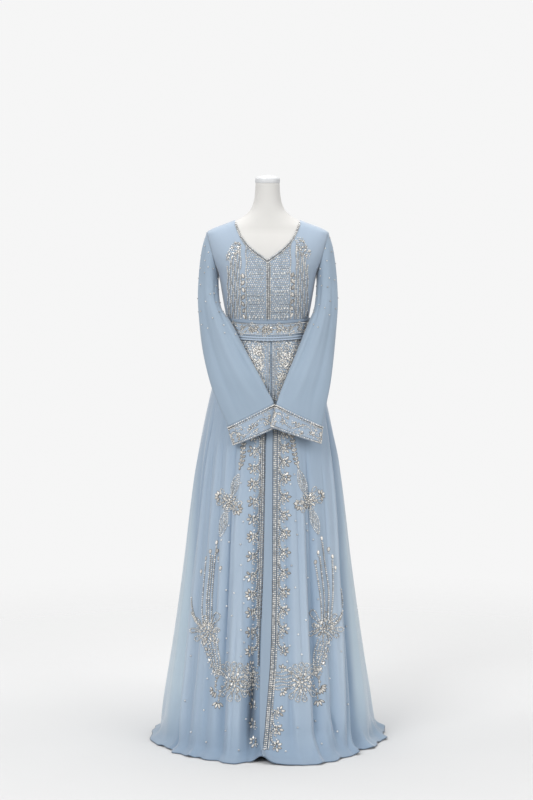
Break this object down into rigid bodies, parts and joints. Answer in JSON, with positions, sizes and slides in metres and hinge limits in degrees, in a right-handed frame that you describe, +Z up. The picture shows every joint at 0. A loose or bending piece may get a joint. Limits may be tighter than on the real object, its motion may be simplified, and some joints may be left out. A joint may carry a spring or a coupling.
{
  "type": "kaftan gown on a limbless dress form",
  "caption": "Floor-length beaded kaftan gown with a pleated belt and long flared sleeves, standing hollow and open on a limbless dress form with a round base.",
  "frame": {"origin": "centre of the underside of the form's round base, on the floor", "axes": "+Z up, -Y out of the front of the gown, +X to the right of a viewer in front"},
  "size_m": [0.6846, 0.7287, 1.6103],
  "materials": {
    "gown_cloth": "pale blue chiffon in layers, fine plain weave with a soft sheen",
    "beaded_cloth": "pale blue chiffon worked over with silver bugle beads, small pearls and crystals",
    "form_cover": "smooth off-white jersey stretched over the form",
    "form_cap": "smooth white moulding with a soft shine",
    "stand_metal": "plain steel, finely brushed"
  },
  "bodies": {
    "root": {"bodice_back": "gown_cloth", "bodice_front_left": "beaded_cloth", "bodice_front_right": "beaded_cloth", "sleeve_left": "gown_cloth", "sleeve_right": "gown_cloth", "cuff_left": "beaded_cloth", "cuff_right": "beaded_cloth", "skirt_back": "gown_cloth", "skirt_front_left": "gown_cloth", "skirt_front_right": "gown_cloth", "placket": "gown_cloth", "belt": "beaded_cloth", "form_torso": "form_cover", "form_neck_cap": "form_cap", "form_pole": "stand_metal", "form_base": "stand_metal"}
  },
  "joints": []
}
